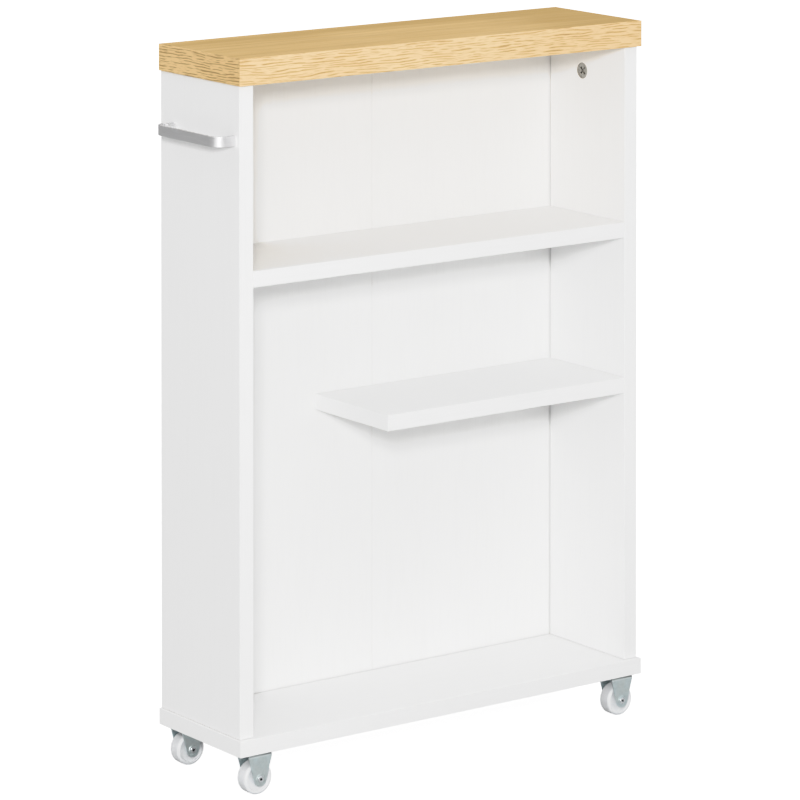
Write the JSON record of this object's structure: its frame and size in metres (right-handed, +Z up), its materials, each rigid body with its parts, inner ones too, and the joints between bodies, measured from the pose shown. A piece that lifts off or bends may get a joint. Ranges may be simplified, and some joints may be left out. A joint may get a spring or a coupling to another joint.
{
  "type": "rolling pantry cart",
  "caption": "Narrow rolling pantry cart: white open-fronted shelf carcass under an oak-effect top, with a bow handle on one end and fixed casters.",
  "frame": {"origin": "centre of the bounding box's footprint, on the floor", "axes": "+Z up; +X along the cart, from the handle end to the plain end; +Y from the open front to the back"},
  "size_m": [0.489, 0.135, 0.674],
  "materials": {
    "oak_board": "oak-effect melamine, satin",
    "white_board": "white melamine on chipboard, satin",
    "hardboard": "white-faced hardboard",
    "paper_tape": "gummed paper tape",
    "die_cast_zinc": "die-cast zinc, matt",
    "plated_steel": "zinc-plated steel",
    "beech_dowel": "fluted beech",
    "satin_metal": "satin brushed",
    "zinc_plate": "bluish bright zinc plate on pressed steel",
    "white_nylon": "white nylon, satin",
    "rivet_steel": "bright tubular rivet"
  },
  "bodies": {
    "carcass": {"top_slab": "oak_board", "base_panel": "white_board", "left_side_panel": "white_board", "right_side_panel": "white_board", "upper_shelf": "white_board", "lower_shelf": "white_board", "back_panel_left": "hardboard", "back_panel_right": "hardboard", "back_seam_tape": "paper_tape", "top_cam_locks": "die_cast_zinc", "top_cam_bolts": "plated_steel", "top_dowels": "beech_dowel", "upper_shelf_cam_locks": "die_cast_zinc", "upper_shelf_cam_bolts": "plated_steel", "lower_shelf_cam_locks": "die_cast_zinc", "lower_shelf_cam_bolts": "plated_steel", "base_screws": "plated_steel", "base_dowels": "beech_dowel", "back_screws": "plated_steel", "handle": "satin_metal", "handle_screws": "plated_steel", "caster_screws": "plated_steel", "caster_bracket_front_left": "zinc_plate", "caster_bracket_front_right": "zinc_plate", "caster_bracket_rear_left": "zinc_plate", "caster_bracket_rear_right": "zinc_plate", "caster_axle_front_left": "rivet_steel", "caster_axle_front_right": "rivet_steel", "caster_axle_rear_left": "rivet_steel", "caster_axle_rear_right": "rivet_steel"},
    "wheel_front_left": {"caster_wheel_front_left": "white_nylon"},
    "wheel_front_right": {"caster_wheel_front_right": "white_nylon"},
    "wheel_rear_left": {"caster_wheel_rear_left": "white_nylon"},
    "wheel_rear_right": {"caster_wheel_rear_right": "white_nylon"}
  },
  "joints": [
    {"name": "wheel_spin_front_left", "type": "hinge", "parent": "carcass", "child": "wheel_front_left", "pos_m": [-0.2027, -0.0563, 0.015], "axis": [0, 1, 0], "continuous": true},
    {"name": "wheel_spin_front_right", "type": "hinge", "parent": "carcass", "child": "wheel_front_right", "pos_m": [0.2217, -0.0563, 0.015], "axis": [0, 1, 0], "continuous": true},
    {"name": "wheel_spin_rear_left", "type": "hinge", "parent": "carcass", "child": "wheel_rear_left", "pos_m": [-0.2027, 0.0549, 0.015], "axis": [0, 1, 0], "continuous": true},
    {"name": "wheel_spin_rear_right", "type": "hinge", "parent": "carcass", "child": "wheel_rear_right", "pos_m": [0.2217, 0.0549, 0.015], "axis": [0, 1, 0], "continuous": true}
  ]
}
